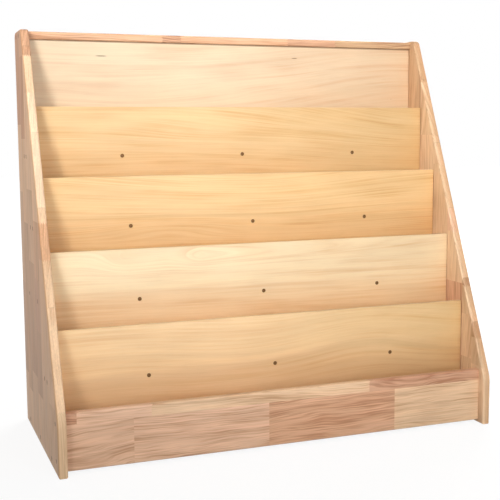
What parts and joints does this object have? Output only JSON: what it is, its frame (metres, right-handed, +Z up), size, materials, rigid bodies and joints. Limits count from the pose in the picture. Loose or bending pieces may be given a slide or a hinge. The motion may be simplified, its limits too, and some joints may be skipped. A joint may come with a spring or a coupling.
{
  "type": "front-facing bookshelf",
  "caption": "Low wooden bookshelf with sloping sides: stepped display panels hold books face out in pockets, with open storage at the rear.",
  "frame": {"origin": "on the floor under the middle of the footprint, at the bottom centre of the whole part's box", "axes": "+X to the right as seen from the front, +Y to the rear, +Z up; the books face -Y"},
  "size_m": [0.914, 0.406, 0.829],
  "materials": {
    "staved_wood": "clear satin lacquer on finger-jointed hardwood staves",
    "pale_plywood": "clear satin lacquer on pale plywood",
    "honey_plywood": "clear satin lacquer on honey plywood",
    "plug_wood": "sanded flush, clear lacquer",
    "bronzed_screw": "dark bronzed steel",
    "plated_screw": "zinc plated"
  },
  "bodies": {
    "root": {"side_left": "staved_wood", "side_right": "staved_wood", "top_board": "staved_wood", "back_panel": "pale_plywood", "display_panel_1": "honey_plywood", "display_panel_2": "pale_plywood", "display_panel_3": "honey_plywood", "display_panel_4": "honey_plywood", "ledge_1": "staved_wood", "middle_shelf": "staved_wood", "ledge_3": "staved_wood", "ledge_4": "staved_wood", "bottom_board": "staved_wood", "front_rail": "staved_wood", "panel_screws_1": "bronzed_screw", "panel_screws_2": "bronzed_screw", "panel_screws_3": "bronzed_screw", "panel_screws_4": "bronzed_screw", "side_screws_left": "plated_screw", "side_screws_right": "plated_screw", "screw_plugs_left": "plug_wood", "screw_plugs_right": "plug_wood", "rail_dowels": "plug_wood"}
  },
  "joints": []
}
